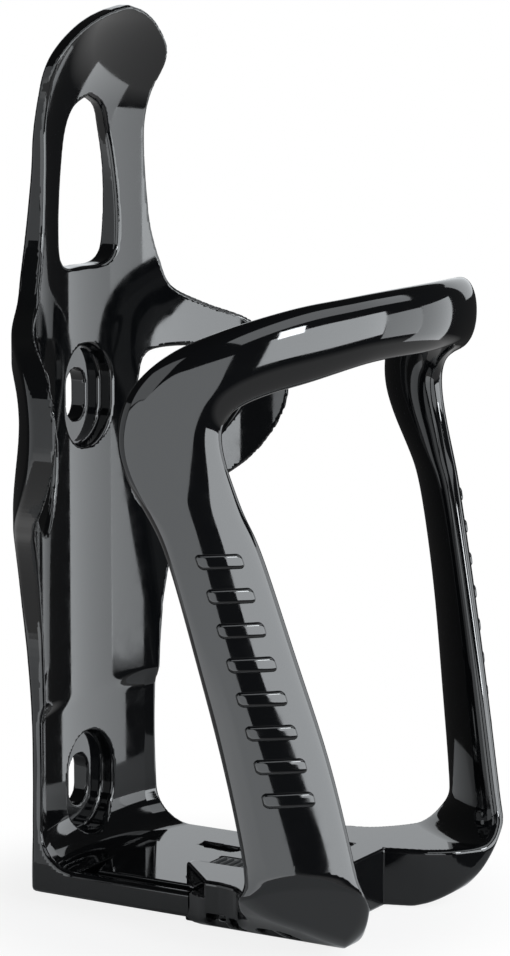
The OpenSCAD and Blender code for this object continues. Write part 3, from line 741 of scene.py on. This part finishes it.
# Lever spring: a leaf cut from rolled spring strip. Its flat foot lies in a seat of the sole, and its
# formed nose stands in a notch under the tray until the lever's stem presses it down.
# Rolled steel: greyer than the pin, with long streaks along the strip. They are drawn 0.4 mm wide,
# coarser than they would be, so that they show.
rolled_steel = new_material("rolled_spring_steel")
where = add_node(rolled_steel, "ShaderNodeTexCoord")
drawn = add_node(rolled_steel, "ShaderNodeMapping", {"Scale": (1000 / 0.4, 1000 / 9.0, 1000 / 0.4)},
                 {"Vector": where.outputs["Object"]})
streaks = add_node(rolled_steel, "ShaderNodeTexNoise", {"Scale": 1.0, "Detail": 4.0},
                   {"Vector": drawn.outputs["Vector"]})
tint = add_node(rolled_steel, "ShaderNodeMix", {
    "data_type": "RGBA", 6: linear("#8d8f90"), 7: linear("#b1b2b2")}, {0: streaks.outputs["Fac"]})
polish = add_node(rolled_steel, "ShaderNodeMapRange", {
    "From Min": 0.3, "From Max": 0.7, "To Min": 0.22, "To Max": 0.38},
    {"Value": streaks.outputs["Fac"]})
steel = add_node(rolled_steel, "ShaderNodeBsdfPrincipled", {"Metallic": 1.0}, {
    "Base Color": tint.outputs[2], "Roughness": polish.outputs["Result"]})
add_node(rolled_steel, "ShaderNodeOutputMaterial", {}, {"Surface": steel.outputs["BSDF"]})

# faces, ends and sides of the strip
LEAF_BOTTOM, LEAF_TOP = 1.72, 2.02
LEAF_FRONT, LEAF_BACK = -48.0, -31.9
LEAF_LEFT, LEAF_RIGHT = -8.2, -0.2
# the nose is a half round that stands in the first notch
NOSE_R = 1.0
NOSE_INSIDE_R = 0.7
round_nose = np.linspace(math.pi, 0, 25)


def leaf_side(height, radius):
    """One side of the leaf in y and height: its flat foot, the nose, and the short end behind it."""
    middle = NOTCH_ROW[0]
    foot = [(y, height) for y in np.linspace(LEAF_FRONT, middle - radius, 29)]
    nose = [(middle + radius * math.cos(a), TRAY_BOTTOM + radius * math.sin(a)) for a in round_nose]
    return np.array(foot + nose + [(middle + radius, height), (LEAF_BACK, height)])


upper, lower = leaf_side(LEAF_TOP, NOSE_R), leaf_side(LEAF_BOTTOM, NOSE_INSIDE_R)
edges = [(LEAF_RIGHT, upper), (LEAF_LEFT, upper), (LEAF_LEFT, lower), (LEAF_RIGHT, lower)]
spring = sweep("spring_leaf", np.stack([np.insert(side, 0, x, axis=1) for x, side in edges], 1))
spring.data.shade_flat()
spring.data.materials.append(rolled_steel)
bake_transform(spring)
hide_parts("lever_spring")

# Camera: a long lens that looks a little down on the near left side, as in the photograph. Its
# place, turn and lens are fitted to the outline there, in a picture of 510 by 956.
lens = bpy.data.cameras.new("camera")
camera = bpy.data.objects.new("camera", lens)
bpy.context.scene.collection.objects.link(camera)
lens.sensor_fit = "VERTICAL"
lens.sensor_height = 36.0
lens.lens = 130.75
lens.shift_x = 0.0292
lens.clip_start = 0.01
lens.clip_end = 50.0
camera.location = (-0.4662, -0.3101, 0.1074)
camera.rotation_euler = (math.radians(80.92), 0, math.radians(-59.13))
bpy.context.scene.camera = camera

# Stage: a small still-life table of white card. Its white goes on into the white of the room, and a
# little of its own shading stays, so that the object keeps a faint shadow.
TABLE_HALF = 60.0
TABLE_MIDDLE = np.array((0, -30.0, -0.1))
table_corners = np.array([(-1, -1, 0), (1, -1, 0), (1, 1, 0), (-1, 1, 0)]) * TABLE_HALF
table = mesh_object("studio_table", table_corners + TABLE_MIDDLE, [(0, 1, 2, 3)])
card = new_material("white_card")
matt = add_node(card, "ShaderNodeBsdfDiffuse", {"Color": linear("#dcdcdc")})
glow = add_node(card, "ShaderNodeEmission", {"Color": (1, 1, 1, 1), "Strength": 1.0})
where = add_node(card, "ShaderNodeTexCoord")
from_middle = add_node(card, "ShaderNodeVectorMath", {
    "operation": "DISTANCE", 1: (TABLE_MIDDLE + (0, 0, LOWEST_FACE)) / 1000},
    {0: where.outputs["Object"]})
fade = add_node(card, "ShaderNodeMapRange", {
    "interpolation_type": "SMOOTHSTEP", "From Min": 0.03, "From Max": TABLE_HALF / 1000,
    "To Min": 0.85, "To Max": 1.0}, {"Value": from_middle.outputs["Value"]})
lit = add_node(card, "ShaderNodeMixShader", {}, {
    0: fade.outputs[0], 1: matt.outputs[0], 2: glow.outputs[0]})
path = add_node(card, "ShaderNodeLightPath")
shown = add_node(card, "ShaderNodeMixShader", {}, {
    0: path.outputs["Is Camera Ray"], 1: matt.outputs[0], 2: lit.outputs[0]})
add_node(card, "ShaderNodeOutputMaterial", {}, {"Surface": shown.outputs[0]})
table.data.materials.append(card)

# the room is white to the camera. The plastic mirrors a dark one, with some light from the floor.
room = bpy.data.worlds.new("studio")
room.use_nodes = True
room.node_tree.nodes.clear()
where = add_node(room, "ShaderNodeTexCoord")
height = add_node(room, "ShaderNodeSeparateXYZ", {}, {0: where.outputs["Generated"]})
ground = add_node(room, "ShaderNodeMapRange", {
    "From Min": -0.42, "From Max": -0.3, "To Min": 0.5, "To Max": 0.03},
    {"Value": height.outputs["Z"]})
dim = add_node(room, "ShaderNodeBackground", {"Color": (1, 1, 1, 1)},
               {"Strength": ground.outputs[0]})
bright = add_node(room, "ShaderNodeBackground", {"Color": (1, 1, 1, 1)})
path = add_node(room, "ShaderNodeLightPath")
shown = add_node(room, "ShaderNodeMixShader", {}, {
    0: path.outputs["Is Camera Ray"], 1: dim.outputs[0], 2: bright.outputs[0]})
add_node(room, "ShaderNodeOutputWorld", {}, {"Surface": shown.outputs[0]})
bpy.context.scene.world = room


def soft_box(name, side, rise, wide, tall, glow, away=1.0):
    """A cool white soft box by the angles in degrees that it fills, seen from the object, its glow
    and its distance in metres. Side 0 is the front and 90 the right."""
    side, rise = math.radians(side), math.radians(rise)
    centre = Vector((math.sin(side) * math.cos(rise), -math.cos(side) * math.cos(rise),
                     math.sin(rise))) * away
    light = bpy.data.lights.new(name, "AREA")
    light.shape = "RECTANGLE"
    light.size = 2 * away * math.tan(math.radians(wide / 2))
    light.size_y = 2 * away * math.tan(math.radians(tall / 2))
    light.energy = glow * math.pi * light.size * light.size_y
    light.color = (0.93, 0.97, 1.0)
    lamp = bpy.data.objects.new(name, light)
    lamp.location = centre + Vector((0, -0.03, 0))
    lamp.rotation_euler = (-centre).to_track_quat("-Z", "Y").to_euler()
    bpy.context.scene.collection.objects.link(lamp)


soft_box("front_box", -2, 5, 60, 29, 6.6)
soft_box("front_side_box", 36, -1, 16, 24, 3.0)
soft_box("key_lamp", -24, 21, 11, 11, 26.0, 0.95)
soft_box("left_box", -84, -9, 74, 50, 2.5)
soft_box("left_strip", -106, 28, 28, 24, 1.6)
soft_box("right_box", 57, -5, 26, 34, 2.4)
soft_box("top_box", -2, 47, 84, 26, 2.4)
soft_box("back_left_box", -144, -3, 44, 44, 0.9)
soft_box("back_box", 112, 14, 56, 24, 1.1)

bpy.context.scene.view_settings.view_transform = "Standard"
